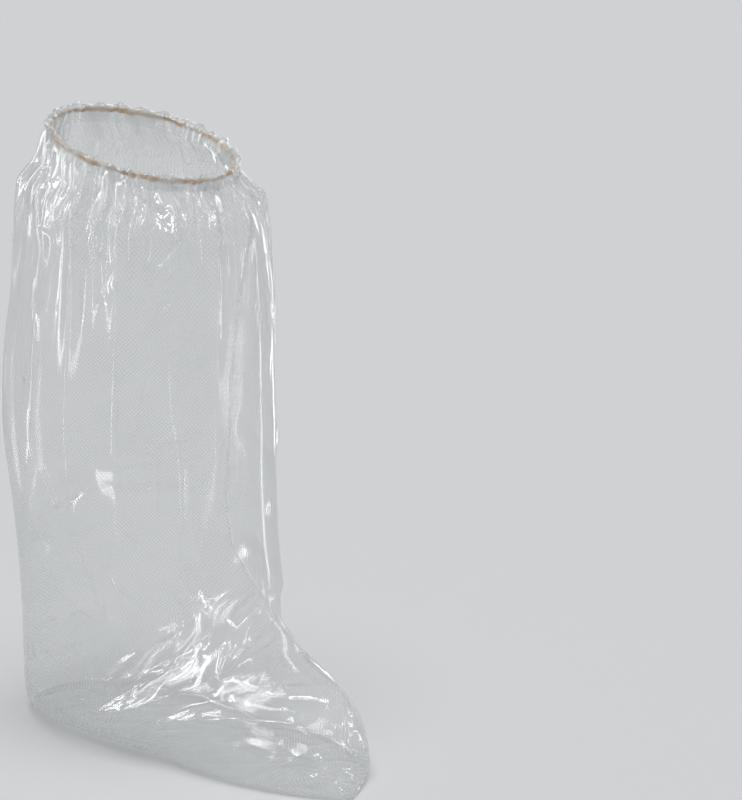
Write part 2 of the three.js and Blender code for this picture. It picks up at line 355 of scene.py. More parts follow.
LEFT_FOLDS = [
    ("heel to instep", [(10, 60, 14), (52, 66, 52), (88, 58, 82), (106, 46, 100)], 8, 5),
    ("hollow below it", [(46, 63, 36), (84, 60, 62), (124, 34, 88)], 8, -4),
    ("heel to vamp", [(10, 60, 14), (66, 64, 34), (104, 60, 48), (130, 46, 60)], 6, 5),
    ("along the foot", [(60, 64, 22), (104, 64, 32), (140, 60, 36), (164, 54, 34)], 6, 3),
    ("hollow before the toe", [(136, 32, 76), (150, 47, 58), (158, 57, 42)], 5, -5),
    ("left of the toe", [(150, 30, 65), (176, 34, 49), (196, 30, 40)], 5, 3),
    ("behind the heel", [(-34, 72, 70), (-28, 72, 48), (-30, 60, 26)], 6, 4),
    ("across the shin", [(10, 94, 200), (46, 86, 192), (76, 68, 186)], 8, -3),
    ("ankle to instep", [(10, 88, 116), (56, 78, 100), (96, 54, 104)], 7, 2.5),
    ("toe edge", [(192, 34, 22), (208, 22, 22), (215, 14, 22)], 4, 2.5),
    ("leg diagonal", [(96, 40, 330), (80, 66, 296), (60, 80, 262)], 2.5, 1),
    ("long crease at the back", [(-28, 74, 384), (-10, 88, 330), (-4, 93, 262)], 3, 1.6),
    ("bulge below the seam", [(129, 7, 108), (144, 29, 76), (161, 31, 64)], 6, 2),
]
BACK_FOLDS = [
    ("down the back", [(-62, 30, 372), (-74, 22, 310), (-79, 26, 250)], 4, 1.8),
    ("slack over the heel", [(-64, -34, 150), (-74, 0, 138), (-66, 34, 146)], 9, -4),
    ("crest below it", [(-62, -38, 124), (-76, 0, 112), (-62, 38, 120)], 7, 3),
    ("low on the heel", [(-58, -40, 64), (-80, 0, 54), (-58, 40, 60)], 7, -3),
    ("heel tuck", [(-70, -30, 34), (-84, 4, 26), (-72, 30, 30)], 5, 2.5),
]
FOLDS = table("fold chain width rise", RIGHT_FOLDS + LEFT_FOLDS + BACK_FOLDS)
print(len(FOLDS), "folds")

# %% [markdown]
# ## Small creases that nobody would list
#
# Between the main folds the film is full of short creases: below the elastic, over the foot and, fainter,
# along the leg where it was folded in its packet. A seeded loop for each place scatters them, as straight
# lines on the grid, so the result is the same on every run.

# %% Scatter small creases
CREASE_SEED = 5
CREASE_POINTS = 4
SHORTEST_CREASE = 14 * MM
CREASES = table("place from_ring to_ring count rows turn width rise", [
    ("below the elastic", "under elastic", "collar", 26, 16, 0.22, 2.6, 1.8),
    ("over the shoulder", "collar", "upper leg", 12, 14, 0.25, 3.0, 1.4),
    ("along the leg", "upper leg", "ankle", 14, 34, 0.06, 3.0, 1.1),
    ("across the ankle", "shin", "heel top", 12, 8, 0.35, 3.5, 1.3),
    ("over the foot", "bend", "instep", 36, 12, 0.35, 2.4, 1.5),
    ("over the toe", "ball", "toe cap", 10, 10, 0.4, 2.2, 0.7),
])


def line_on_bag(row_a, turn_a, row_b, turn_b):
    """Points of the plain bag along a straight line on its grid."""
    at_row = np.linspace(row_a, row_b, CREASE_POINTS).clip(0, len(rows) - 1)
    at_turn = np.linspace(turn_a, turn_b, CREASE_POINTS)
    return plain_bag[at_row.astype(int), (at_turn * AROUND / (2 * np.pi)).astype(int) % AROUND]


def scatter_creases(kind, random):
    """Creases of one kind, up and down by turns, in random places of its stretch of the bag."""
    first, last = row_of_ring[kind["from_ring"]], row_of_ring[kind["to_ring"]]
    creases = []
    for i in range(kind["count"]):
        row, turn_at = random.uniform(first, last), (i + random.uniform(0, 1)) * 2 * np.pi / kind["count"]
        reach = kind["rows"] * random.uniform(0.5, 1.2)
        lean = kind["turn"] * random.uniform(-1, 1)
        rise = kind["rise"] * random.uniform(0.5, 1.1) * (1 if i % 3 else -1)
        chain = line_on_bag(row, turn_at, row + reach, turn_at + lean)
        length = np.linalg.norm(chain[-1] - chain[0])
        if chain[:, 2].min() > 2 * SOLE_EDGE and length > SHORTEST_CREASE:
            creases.append((chain, kind["width"] * MM, rise * MM))
    return creases


crease_random = np.random.default_rng(CREASE_SEED)
small_creases = [crease for kind in CREASES for crease in scatter_creases(kind, crease_random)]
print(len(small_creases), "small creases")

# %% [markdown]
# ## From lines to folds
#
# A fold's crest has to be sharp, but a grid blurs every line that runs across it at a slant. So the grid is
# fitted to the folds first: where a line passes between two points, the nearer one moves onto it. The crest
# then runs from point to point, and later the quads are split along it. A point's distance to a line is
# measured within the surface, by leaving out most of the part along the normal.

# %% Fit the grid to the lines
NORMAL_LEFT_OUT = 0.85
FIT_REACH = 8 * MM
FIT_FARTHEST = 3 * MM
CHAIN_ENDS = (0.01, 0.99)
LEAST_FACING = 0.3
UNTANGLE_ROUNDS = 4


def nearest_on_chain(points, normals, chain):
    """Way from the chain within the surface, how far along it, 0 to 1, and the chain's direction there."""
    lengths = np.linalg.norm(np.diff(chain, axis=0), axis=1)
    starts = np.concatenate([[0], np.cumsum(lengths)])
    best = np.full(len(points), np.inf)
    share = np.zeros(len(points))
    way = np.zeros(points.shape)
    heading = np.zeros(points.shape)
    for a, b, start, length in zip(chain[:-1], chain[1:], starts, lengths):
        t = np.clip(dot(points - a, b - a) / length**2, 0, 1)
        away = points - (a + t[:, None] * (b - a))
        lifted = dot(away, normals)
        far = np.sqrt(np.maximum(dot(away, away) - NORMAL_LEFT_OUT * lifted**2, 0))
        nearer = far < best
        best[nearer] = far[nearer]
        share[nearer] = ((start + t * length) / starts[-1])[nearer]
        way[nearer] = (away - lifted[:, None] * normals)[nearer]
        heading[nearer] = (b - a) / length
    return best, share, way, heading


def near(chain, reach):
    """Which points of the bag lie in the chain's box, widened by a reach."""
    low, high = chain.min(0) - reach, chain.max(0) + reach
    return np.all((plain_bag > low) & (plain_bag < high), axis=-1)


def fit_to(chain):
    """Moves those points onto the chain that are nearest to it in their row or column."""
    here = near(chain, FIT_REACH) & ~fitted
    far, share, way, heading = nearest_on_chain(plain_bag[here], outward[here], chain)
    steps = [cell_around[here], cell_along[here]]
    slants = [np.abs(dot(heading, unit(step))) for step in steps]
    sizes = [np.linalg.norm(step, axis=-1) for step in steps]
    limit = np.where(slants[0] > slants[1], sizes[1] * slants[0], sizes[0] * slants[1]) / 2
    between_ends = (share > CHAIN_ENDS[0]) & (share < CHAIN_ENDS[1])
    close = (np.linalg.norm(way, axis=-1) < limit) & (far < FIT_FARTHEST) & between_ends
    moving = np.zeros(fitted.shape, bool)
    moving[here] = close
    plain_bag[moving] -= way[close]
    fitted[moving] = True


def release_tangles():
    """Puts the corners of cells back that fitting has turned over or squeezed flat."""
    falling = step_to(plain_bag, 1)[1:] - plain_bag[:-1]
    rising = step_to(plain_bag, 1)[:-1] - plain_bag[1:]
    facing = dot(np.cross(falling, rising), outward[:-1]) / 2
    area = np.linalg.norm(np.cross(cell_along, cell_around), axis=-1)[:-1]
    bad = facing < LEAST_FACING * area
    corners = np.zeros(fitted.shape, bool)
    corners[:-1] |= bad | step_to(bad, -1)
    corners[1:] |= bad | step_to(bad, -1)
    plain_bag[corners] = unfitted_bag[corners]


lines = [
    (np.array(fold["chain"], float) * MM, fold["width"] * MM, fold["rise"] * MM) for fold in FOLDS
] + small_creases
cell_around = (step_to(plain_bag, 1) - step_to(plain_bag, -1)) / 2
cell_along = np.gradient(plain_bag, axis=0)
fitted = np.zeros(plain_bag.shape[:2], bool)
fitted[:, [0, 1, -1]] = True
unfitted_bag = plain_bag.copy()
for chain, _, _ in lines:
    fit_to(chain)
for _ in range(UNTANGLE_ROUNDS):
    release_tangles()
moved_onto = np.linalg.norm(plain_bag - unfitted_bag, axis=-1) > 0
print(int(moved_onto.sum()), "points moved onto crests")

# %% Raise the folds
CREST_RADIUS = 0.6 * MM
FOLD_REACH = 2.4
FOLD_MARGIN = 4 * MM
END_FADE = 0.8
FLANK_CURVE = 1.7
SHARP_RISE = 3 * MM
folds = np.zeros(plain_bag.shape[:2])
crests = np.zeros(plain_bag.shape[:2])


def add_fold(chain, width, rise):
    """Adds a fold's height to the film's, and its crest to the mask of creases."""
    here = near(chain, FOLD_REACH * width + FOLD_MARGIN)
    far, share, _, _ = nearest_on_chain(plain_bag[here], outward[here], chain)
    fade = np.sin(np.pi * np.clip(share, *CHAIN_ENDS)) ** END_FADE
    down_slope = (np.sqrt(far**2 + CREST_RADIUS**2) - CREST_RADIUS) / (FOLD_REACH * width)
    folds[here] += rise * fade * np.maximum(1 - down_slope, 0) ** FLANK_CURVE
    sharp = fade * np.exp(-((far / CREST_RADIUS) ** 2)) * min(1, abs(rise) / SHARP_RISE)
    crests[here] = np.maximum(crests[here], sharp)


for chain, width, rise in lines:
    add_fold(chain, width, rise)
print("folds from", round(folds.min() / MM, 1), "to", round(folds.max() / MM, 1), "mm")

# %% [markdown]
# ## The welded front seam
#
# The two panels of film are welded together along the front and the weld is trimmed close, so a narrow fin
# stands out there. The columns of the grid are set densest at the seam, and the first column is the fin's
# edge.

# %% Add the seam and lift the film to its folded form
SEAM_RIDGE = 1.5 * MM
SEAM_COLUMNS = {0: 1.0, 1: 0.2, -1: 0.2}
SETTLED_DIGITS = 8


def settled(values):
    """Values rounded far below what shows, because buckling would magnify a difference in the last digit."""
    return np.round(values, SETTLED_DIGITS)


seam_height = along_rows([
    ("outside elastic", 0), ("under elastic", 1), ("ankle", 1), ("ball", 0.4), ("toe corner", 0.4),
])
seam = np.zeros(plain_bag.shape[:2])
for column, share in SEAM_COLUMNS.items():
    seam[:, column] = seam_height * share
lift = gathers + folds + SEAM_RIDGE * seam
folded_bag = settled(plain_bag + outward * lift[..., None])
folded_bag[..., 2] = np.maximum(folded_bag[..., 2], SOLE_LOW)
print("folded bag stands", round(float(folded_bag[..., 2].max()) / MM), "mm high")

# %% [markdown]
# ## Let the film buckle
#
# Film doesn't stretch, so wherever there is more of it than the form needs, it buckles. Blender's Cloth could
# find these small wrinkles, but the slack of this bag differs along and around it, and that is easier to say
# on a grid. Each edge of the grid has the length that it has in the flat cut. In each round the points move
# until the edges come nearer to those lengths, are pulled back softly to the folded form, and are smoothed a
# little, because film resists bending. Random ripples, with a fixed seed, give the wrinkles a start.

# %% How much slack there is
FLAT_HALF_WIDTH = 300 * MM
MOST_GATHERED = 1.22
SLACK = table("ring around along", [
    ("hem edge", 1.0, 1.0), ("under elastic", 1.0, 1.0), ("collar", 1.0, 1.012), ("upper leg", 1.012, 1.012),
    ("leg", 1.008, 1.006), ("calf", 1.006, 1.005), ("shin", 1.008, 1.01), ("ankle", 1.012, 1.015),
    ("bend", 1.015, 1.015), ("heel", 1.025, 1.018), ("ball", 1.032, 1.026), ("toe", 1.03, 1.026),
    ("toe corner", 1.0, 1.0),
])
slack_around = column_along_rows(SLACK, "around")[:, None]
slack_along = settled(column_along_rows(SLACK, "along")[:, None])


def round_length(grid):
    """The length of each ring of the grid."""
    return np.linalg.norm(step_to(grid, 1) - grid, axis=-1).sum(1)


gathered = 2 * FLAT_HALF_WIDTH / round_length(folded_bag)
on_leg = along_rows([("under elastic", 0), ("collar", 1), ("upper leg", 1), ("leg", 0), ("calf", 0)])
leg_slack = (np.clip(gathered, 1, MOST_GATHERED) - 1) * on_leg
slack_around = settled(np.maximum(slack_around, 1 + leg_slack[:, None]))
print("most slack around and along:", slack_around.max().round(2), slack_along.max().round(3))

# %% The rounds of moving, pulling and smoothing
BUCKLE_ROUNDS = 260
PULLS = (0.24, 0.24, 0.12, 0.12)
FORM_PULL = 0.006
STIFFNESS = 0.22
CARRY = 0.80
FARTHEST = 7 * MM
RIPPLE = 0.5 * MM
RIPPLE_SEED = 11
RIPPLE_COUNT = 40
RIPPLE_WAVES = (14 * MM, 45 * MM)
LAST_SMOOTHING = 3


def edges_of(grid):
    """Starts and ends of the edges: around, along and the two ways across each cell."""
    upper, lower = grid[:-1], grid[1:]
    return [(grid, step_to(grid, 1)), (upper, lower), (upper, step_to(lower, 1)), (step_to(upper, 1), lower)]


def add_back(move, pull):
    """Adds the pulls on the edges' two ends to the points' moves."""
    around, along, falling, rising = pull
    move += around - step_to(around, -1)
    move[:-1] += along + falling + step_to(rising, -1)
    move[1:] -= along + step_to(falling, -1) + rising


def flat_lengths(grid):
    """Lengths of the edges in the flat cut: those of the folded form, with its slack."""
    around = step_to(grid, 1) - grid
    along = np.diff(grid, axis=0)
    around_flat = around * slack_around[..., None]
    along_flat = along * ((slack_along[1:] + slack_along[:-1]) / 2)[..., None]
    falling = along_flat + around_flat[1:]
    rising = along_flat - around_flat[:-1]
    return [np.linalg.norm(edge, axis=-1) for edge in (around_flat, along_flat, falling, rising)]


def smoothed(shift):
    """Each shift's mean over its four neighbours."""
    along = np.pad(shift, ((1, 1), (0, 0), (0, 0)), mode="edge")
    return (along[2:] + along[:-2] + step_to(shift, 1) + step_to(shift, -1)) / 4


def ripples(points, seed, count, shortest, longest):
    """A seeded sum of plane waves of many lengths and directions, about 1 high."""
    random = np.random.default_rng(seed)
    total = np.zeros(points.shape[:2])
    for _ in range(count):
        direction = unit(random.normal(size=3))
        wave = random.uniform(shortest, longest)
        total += np.cos(dot(points, direction) * 2 * np.pi / wave + random.uniform(0, 2 * np.pi))
    return total / math.sqrt(count / 2)


def buckle(form, held):
    """The film's points after all rounds. Rows with held at 1 don't move."""
    lengths = flat_lengths(form)
    free = settled(1 - held)[:, None, None]
    start = ripples(form, RIPPLE_SEED, RIPPLE_COUNT, *RIPPLE_WAVES) * RIPPLE
    points = settled(form + outward * start[..., None] * free)
    last = points
    for _ in range(BUCKLE_ROUNDS):
        moving = points + CARRY * (points - last)
        last = points
        pulls = []
        for (a, b), length, pull in zip(edges_of(moving), lengths, PULLS):
            edge = b - a
            now = np.maximum(np.linalg.norm(edge, axis=-1), 1e-7)
            pulls.append(edge * (pull * (1 - length / now))[..., None])
        add_back(moving, pulls)
        shift = moving - form
        shift = shift * (1 - FORM_PULL) + STIFFNESS * (smoothed(shift) - shift)
        reach = np.linalg.norm(shift, axis=-1, keepdims=True)
        shift *= np.minimum(1, FARTHEST / np.maximum(reach, 1e-9))
        points = form + shift * free
        points[..., 2] = np.maximum(points[..., 2], SOLE_LOW)
    shift = points - form
    for _ in range(LAST_SMOOTHING):
        shift += (smoothed(shift) - shift) / 2
    points = form + shift * free
    points[..., 2] = np.maximum(points[..., 2], SOLE_LOW)
    return points


held = along_rows([
    ("hem edge", 1), ("outside elastic", 1), ("collar", 0), ("toe front", 0), ("toe corner", 1),
])
film_points = buckle(folded_bag, held)
moved = np.linalg.norm(film_points - folded_bag, axis=-1)
print("buckling moved points by", round(float(moved.mean()) / MM, 2), "mm on average")

# %% [markdown]
# ## Crinkles in the sole
#
# A flat sole would shine like a mirror, but film that was folded in a packet never lies quite flat. Sharp
# crinkles could be drawn as folds. A sum of ripples is quicker: where it crosses zero, a crest is raised.

# %% Crinkle the sole
SOLE_CRINKLE = 1.0 * MM
SOLE_FADE = 4 * MM
CRINKLE_SEED = 23
CRINKLE_COUNT = 14
CRINKLE_WAVES = (30 * MM, 80 * MM)
CRINKLE_SHARPNESS = 1.5


def crinkled_sole(points):
    """The points, with those on the sole raised in small sharp crinkles."""
    flat_share = np.clip(1 - (points[..., 2] - SOLE_LOW) / SOLE_FADE, 0, 1)
    from_zero = np.abs(ripples(points, CRINKLE_SEED, CRINKLE_COUNT, *CRINKLE_WAVES))
    crinkles = np.clip(1 - from_zero, 0, 1) ** CRINKLE_SHARPNESS
    raised = points.copy()
    raised[..., 2] += SOLE_CRINKLE * flat_share * crinkles
    return raised


film_points = crinkled_sole(film_points)
print("sole crinkled by up to", round(SOLE_CRINKLE / MM, 1), "mm")

# %% [markdown]
# ## The flat cut as a texture map
#
# The emboss was rolled into the film before it was cut, so its pattern has to lie straight on the flat panels
# and bend with them. Each half ring is laid out straight from the seam, in the plane of the side view, which
# gives two mirrored panels in metres. They lie side by side, so the map has no overlaps.

# %% Lay the two panels out flat
PANEL_GAP = 20 * MM
PANEL_CORNER = np.array([0.46, 0.10])


def flat_panels():
    """Places of the grid's points in the flat cut, for the left and the right panel."""
    around = np.linalg.norm(step_to(plain_bag, 1) - plain_bag, axis=-1)
    around *= np.maximum(slack_around, gathered[:, None] * (row_index < row_of_ring["upper leg"])[:, None])
    front = (rows[:, 0] + rows[:, 1])[:, [0, 2]]
    back = (rows[:, 0] - rows[:, 1])[:, [0, 2]]
    top = hem_rows - 1
    along_hem = np.linalg.norm(np.diff(front[: top + 1], axis=0), axis=1)[::-1].cumsum()[::-1]
    for line in (front, back):
        line[:top] = line[top] + np.stack([np.zeros(top), along_hem], axis=1)
    direction = unit(back - front)[:, None, :]
    half = AROUND // 2
    lengths = [np.pad(side[:, :half].cumsum(1), ((0, 0), (1, 0))) for side in (around, around[:, ::-1])]
    panels = [front[:, None, :] + direction * length[..., None] for length in lengths]
    panels[1][..., 0] *= -1
    panels[0][..., 0] += PANEL_GAP / 2 - panels[0][..., 0].min()
    panels[1][..., 0] -= PANEL_GAP / 2 + panels[1][..., 0].max()
    return [panel + PANEL_CORNER for panel in panels]


left_panel, right_panel = flat_panels()
panel_columns = np.concatenate([left_panel, right_panel[:, ::-1]], axis=1)
print("panels from", panel_columns.min((0, 1)).round(3), "to", panel_columns.max((0, 1)).round(3))

# %% [markdown]
# ## The film's mesh
#
# The film is 0.06 mm thick, far too thin to model both faces, so it is one surface. Each cell of the grid is
# split in two along the crest of a fold, where one passes, and a small fan closes the toe. The seam and the
# crests are kept as attributes, because the material needs to know where the film is doubled or creased.

# %% Make the mesh
SPLIT_LENGTH = 10 * MM


def split_cells(grid, crest):
    """Which cells are split from upper left to lower right: along a crest, or else the short way."""
    right, below, across = step_to(grid, 1)[:-1], grid[1:], step_to(grid, 1)[1:]
    falling = np.linalg.norm(across - grid[:-1], axis=-1)
    rising = np.linalg.norm(right - below, axis=-1)
    falling_crest = np.minimum(crest[:-1], step_to(crest, 1)[1:])
    rising_crest = np.minimum(step_to(crest, 1)[:-1], crest[1:])
    return falling_crest - falling / SPLIT_LENGTH >= rising_crest - rising / SPLIT_LENGTH


def triangles_of(corners, falling):
    """The two triangles of each cell, from its corners: upper left, lower left, lower right, upper right."""
    a, b, c, d = (corners[:, :, i] for i in range(4))
    chosen = falling.reshape(falling.shape + (1,) * (corners.ndim - 2))
    first = np.where(chosen, np.stack([a, b, c], axis=2), np.stack([a, b, d], axis=2))
    second = np.where(chosen, np.stack([a, c, d], axis=2), np.stack([b, c, d], axis=2))
    return np.stack([first, second], axis=2)


def film_faces(falling):
    """Triangles of the grid, and the toe's fan round one more point."""
    row_count = len(rows)
    index = np.arange(row_count * AROUND).reshape(row_count, AROUND)
    right = step_to(index, 1)
    corners = np.stack([index[:-1], index[1:], right[1:], right[:-1]], axis=-1)
    fan = np.stack([index[-1], np.full(AROUND, row_count * AROUND), right[-1]], axis=-1)
    return triangles_of(corners, falling).reshape(-1, 3).tolist() + fan.tolist()


def film_uvs(falling):
    """The flat cut's places for each corner of each triangle."""
    half = AROUND // 2
    column = np.arange(AROUND)
    start = np.where(column < half, column, column + 1)
    first, second = panel_columns[:, start], panel_columns[:, start + 1]
    corners = np.stack([first[:-1], first[1:], second[1:], second[:-1]], axis=2)
    tip = np.where((column < half)[:, None], left_panel[-1].mean(0), right_panel[-1].mean(0))
    fan = np.stack([first[-1], tip, second[-1]], axis=1).reshape(-1, 2)
    return np.concatenate([triangles_of(corners, falling).reshape(-1, 2), fan])


def add_values(mesh, name, values):
    """A number for each point of a mesh, for materials to read."""
    attribute = mesh.attributes.new(name, "FLOAT", "POINT")
    attribute.data.foreach_set("value", values.astype(np.float32))


def add_object(name, data):
    """A new object in the scene for a mesh, lamp or camera."""
    thing = bpy.data.objects.new(name, data)
    bpy.context.scene.collection.objects.link(thing)
    return thing


film_mesh = bpy.data.meshes.new("clear_film")
tip = film_points[-1].mean(0)
falling = split_cells(film_points, crests)
film_mesh.from_pydata(np.vstack([film_points.reshape(-1, 3), tip]).tolist(), [], film_faces(falling))
flat_cut = film_mesh.uv_layers.new(name="flat_cut")
flat_cut.data.foreach_set("uv", film_uvs(falling).astype(np.float32).ravel())
add_values(film_mesh, "seam", np.append(seam.ravel(), 0))
add_values(film_mesh, "crest", np.append(crests.ravel(), 0))
add_values(film_mesh, "bunched", np.append(bunched.ravel(), 0))
film_mesh.validate()
film_mesh.shade_smooth()
clear_film = add_object("clear_film", film_mesh)
print("film:", len(film_mesh.polygons), "faces")

# %% [markdown]
# ## The elastic
#
# A flat tan band of rubber threads lies in the hem's channel. It has been stretched while it was sewn in and
# has sprung back, so it runs in small waves. A ribbed section, swept round the neck's circle, is all it
# takes.

# %% Sweep the band's section round the neck
ELASTIC_WIDTH = 3.4 * MM
ELASTIC_THICKNESS = 1.0 * MM
ELASTIC_UP = 2.2 * MM
THREADS = 4
THREAD_POINTS = 6
ELASTIC_STEPS = 336
ELASTIC_WAVE = 0.35 * MM


def elastic_section():
    """Points round the band's section: out from the circle, and up. Each thread is a round rib."""
    across = np.linspace(-1, 1, THREADS * THREAD_POINTS + 1)
    ribs = 0.65 + 0.35 * np.abs(np.cos(across * THREADS * np.pi / 2 + np.pi / 2 * (THREADS % 2 == 0)))
    ribs *= np.sqrt(np.maximum(1 - across**8, 0))
    outer = np.stack([ribs * ELASTIC_THICKNESS / 2, across * ELASTIC_WIDTH / 2], axis=1)
    inner = outer[::-1][1:-1] * [-1, 1]
    return np.vstack([outer, inner])


def make_elastic():
    """The band, in waves, as a closed ring."""
    section = elastic_section()
    around = np.arange(ELASTIC_STEPS) * 2 * np.pi / ELASTIC_STEPS
    wave_out = ELASTIC_WAVE * np.sin(56 * around + 0.8 * np.sin(3 * around))
    uneven_turn = around + 0.07 * np.sin(4 * around + 0.5) + 0.05 * np.sin(7 * around)
    wave_up = ELASTIC_WAVE * np.sin(41 * uneven_turn) + 0.3 * MM * np.sin(17 * uneven_turn + 1)
    lean = 0.3 * np.sin(5 * around + 1) + 0.25 * np.sin(11 * uneven_turn)
    radial = np.cos(around)[:, None] * neck_front + np.sin(around)[:, None] * neck_left
    out = NECK["radius"] * MM + wave_out[:, None] + section[:, 0] + lean[:, None] * section[:, 1]
    up = ELASTIC_UP + wave_up[:, None] + section[:, 1]
    points = neck_middle * MM + radial[:, None, :] * out[..., None] + neck_axis * up[..., None]
    index = np.arange(points.shape[0] * points.shape[1]).reshape(points.shape[:2])
    after = np.roll(index, -1, axis=0)
    faces = np.stack([index, after, step_to(after, 1), step_to(index, 1)], axis=-1).reshape(-1, 4)
    mesh = bpy.data.meshes.new("elastic")
    mesh.from_pydata(points.reshape(-1, 3).tolist(), [], faces.tolist())
    mesh.validate()
    mesh.shade_smooth()
    return add_object("elastic", mesh)


elastic = make_elastic()
print("elastic:", len(elastic.data.polygons), "faces")

# %% [markdown]
# ## Shared surface effects
#
# Two effects are made once as node groups. The first is cloudiness: slow, soft variation that keeps a surface
# from being the same all over. The second is the rolled emboss: two sets of shallow waves that cross as
# diamonds, worked out from the flat cut's map.

# %% Node groups


def new_group(name, inputs, outputs):
    """A shader node group with named number, colour or vector sockets, and its two end nodes."""
    group = bpy.data.node_groups.new(name, "ShaderNodeTree")
    for in_out, sockets in (("INPUT", inputs), ("OUTPUT", outputs)):
        for label, kind, *default in sockets:
            socket = group.interface.new_socket(label, in_out=in_out, socket_type="NodeSocket" + kind)
            if default:
                socket.default_value = default[0]
    return group, group.nodes.new("NodeGroupInput"), group.nodes.new("NodeGroupOutput")


def math_node(tree, operation, a, b=None, clamp=False):
    """A Math node on sockets or plain numbers, and its result."""
    node = tree.nodes.new("ShaderNodeMath")
    node.operation = operation
    node.use_clamp = clamp
    for socket, value in zip(node.inputs, (a, b)):
        if value is None:
            continue
        if isinstance(value, (int, float)):
            socket.default_value = value
        else:
            tree.links.new(value, socket)
    return node.outputs[0]


def make_cloudiness():
    """Soft noise between two values."""
    group, start, end = new_group(
        "cloudiness",
        [("Vector", "Vector"), ("Scale", "Float", 20.0), ("Low", "Float", 0.0), ("High", "Float", 1.0)],
        [("Value", "Float")],
    )
    noise = group.nodes.new("ShaderNodeTexNoise")
    noise.inputs["Detail"].default_value = 4
    spread = group.nodes.new("ShaderNodeMapRange")
    spread.inputs["From Min"].default_value = 0.3
    spread.inputs["From Max"].default_value = 0.7
    for label in ("Vector", "Scale"):
        group.links.new(start.outputs[label], noise.inputs[label])
    for label, limit in (("Low", "To Min"), ("High", "To Max")):
        group.links.new(start.outputs[label], spread.inputs[limit])
    group.links.new(noise.outputs["Fac"], spread.inputs["Value"])
    group.links.new(spread.outputs["Result"], end.inputs["Value"])
    return group


def make_emboss():
    """Height of the rolled diamonds, from a flat map in metres."""
    group, start, end = new_group(
        "rolled_emboss", [("Flat", "Vector"), ("Pitch", "Float", 0.002)], [("Height", "Float")]
    )
    apart = group.nodes.new("ShaderNodeSeparateXYZ")
    group.links.new(start.outputs["Flat"], apart.inputs[0])
    total = math_node(group, "ADD", apart.outputs["X"], apart.outputs["Y"])
    other = math_node(group, "SUBTRACT", apart.outputs["X"], apart.outputs["Y"])
    waves = []
    for way in (total, other):
        turns = math_node(group, "DIVIDE", way, start.outputs["Pitch"])
        waves.append(math_node(group, "SINE", math_node(group, "MULTIPLY", turns, 2 * math.pi)))
    height = math_node(group, "MULTIPLY", math_node(group, "ADD", *waves), 0.25)
    group.links.new(math_node(group, "ADD", height, 0.5), end.inputs["Height"])
    return group


cloudiness = make_cloudiness()
rolled_emboss = make_emboss()
print("node groups:", cloudiness.name, rolled_emboss.name)

# %% [markdown]
# ## The film's finish
#
# Clear film shows by its gloss and by a faint haze. Glass would bend the light twice in a single surface, so
# the film is a glossy surface that lets most light through: its Alpha is low, rises at a slant, where there
# is more film to look through, and rises on the seam and on creased crests. Low alpha also dims the gloss,
# so the index of refraction is set high to bring the gloss of both faces back.

# %% Film material
EMBOSS_PITCH = 0.003
EMBOSS_DEPTH = 0.00002
EDGE_HAZE = 0.45
CREASE_HAZE = 0.18
WELD_HAZE = 0.25
BUNCHED_HAZE = 0.52


def new_material(name):
    """An empty node material with its Principled shader."""
    material = bpy.data.materials.new(name)
    material.use_nodes = True
    tree = material.node_tree
    return material, tree, tree.nodes["Principled BSDF"]


def place_group(tree, group, **values):
    """A node group placed in a material with its own values."""
    node = tree.nodes.new("ShaderNodeGroup")
    node.node_tree = group
    for label, value in values.items():
        node.inputs[label].default_value = value
    return node


def attribute_value(tree, name):
    """The numbers that a mesh keeps under a name."""
    node = tree.nodes.new("ShaderNodeAttribute")
    node.attribute_name = name
    return node.outputs["Fac"]


def clear_film_finish():
    """Clear, glossy, faintly hazy film with a rolled emboss."""
    material, tree, shader = new_material("clear_film_finish")
    shader.inputs["IOR"].default_value = 2.6
    shader.inputs["Base Color"].default_value = (0.84, 0.86, 0.86, 1)
    place = tree.nodes.new("ShaderNodeTexCoord")
    flat = tree.nodes.new("ShaderNodeUVMap")
    flat.uv_map = "flat_cut"
    haze = place_group(tree, cloudiness, Scale=14.0, Low=0.20, High=0.28)
    gloss = place_group(tree, cloudiness, Scale=40.0, Low=0.06, High=0.12)
    for node in (haze, gloss):
        tree.links.new(place.outputs["Object"], node.inputs["Vector"])
    tree.links.new(gloss.outputs["Value"], shader.inputs["Roughness"])
    slant = tree.nodes.new("ShaderNodeLayerWeight")
    slant.inputs["Blend"].default_value = 0.5
    emboss = place_group(tree, rolled_emboss, Pitch=EMBOSS_PITCH)
    tree.links.new(flat.outputs["UV"], emboss.inputs["Flat"])
    dots = math_node(tree, "ADD", math_node(tree, "MULTIPLY", emboss.outputs["Height"], 0.7), 0.65)
    clear = math_node(tree, "MULTIPLY", haze.outputs["Value"], dots)
    edge = math_node(tree, "MULTIPLY", math_node(tree, "POWER", slant.outputs["Facing"], 3.0), EDGE_HAZE)
    crease = math_node(tree, "MULTIPLY", attribute_value(tree, "crest"), CREASE_HAZE)
    weld = math_node(tree, "MULTIPLY", attribute_value(tree, "seam"), WELD_HAZE)
    bunch = math_node(tree, "MULTIPLY", attribute_value(tree, "bunched"), BUNCHED_HAZE)
    alpha = clear
    for more in (edge, crease, bunch):
        alpha = math_node(tree, "ADD", alpha, more)
    alpha = math_node(tree, "ADD", alpha, weld, clamp=True)
    tree.links.new(alpha, shader.inputs["Alpha"])
    bump = tree.nodes.new("ShaderNodeBump")
    bump.inputs["Strength"].default_value = 1.0
    bump.inputs["Distance"].default_value = EMBOSS_DEPTH
    tree.links.new(emboss.outputs["Height"], bump.inputs["Height"])
    tree.links.new(bump.outputs["Normal"], shader.inputs["Normal"])
    return material


clear_film.data.materials.append(clear_film_finish())
print("film finish:", clear_film.data.materials[0].name)
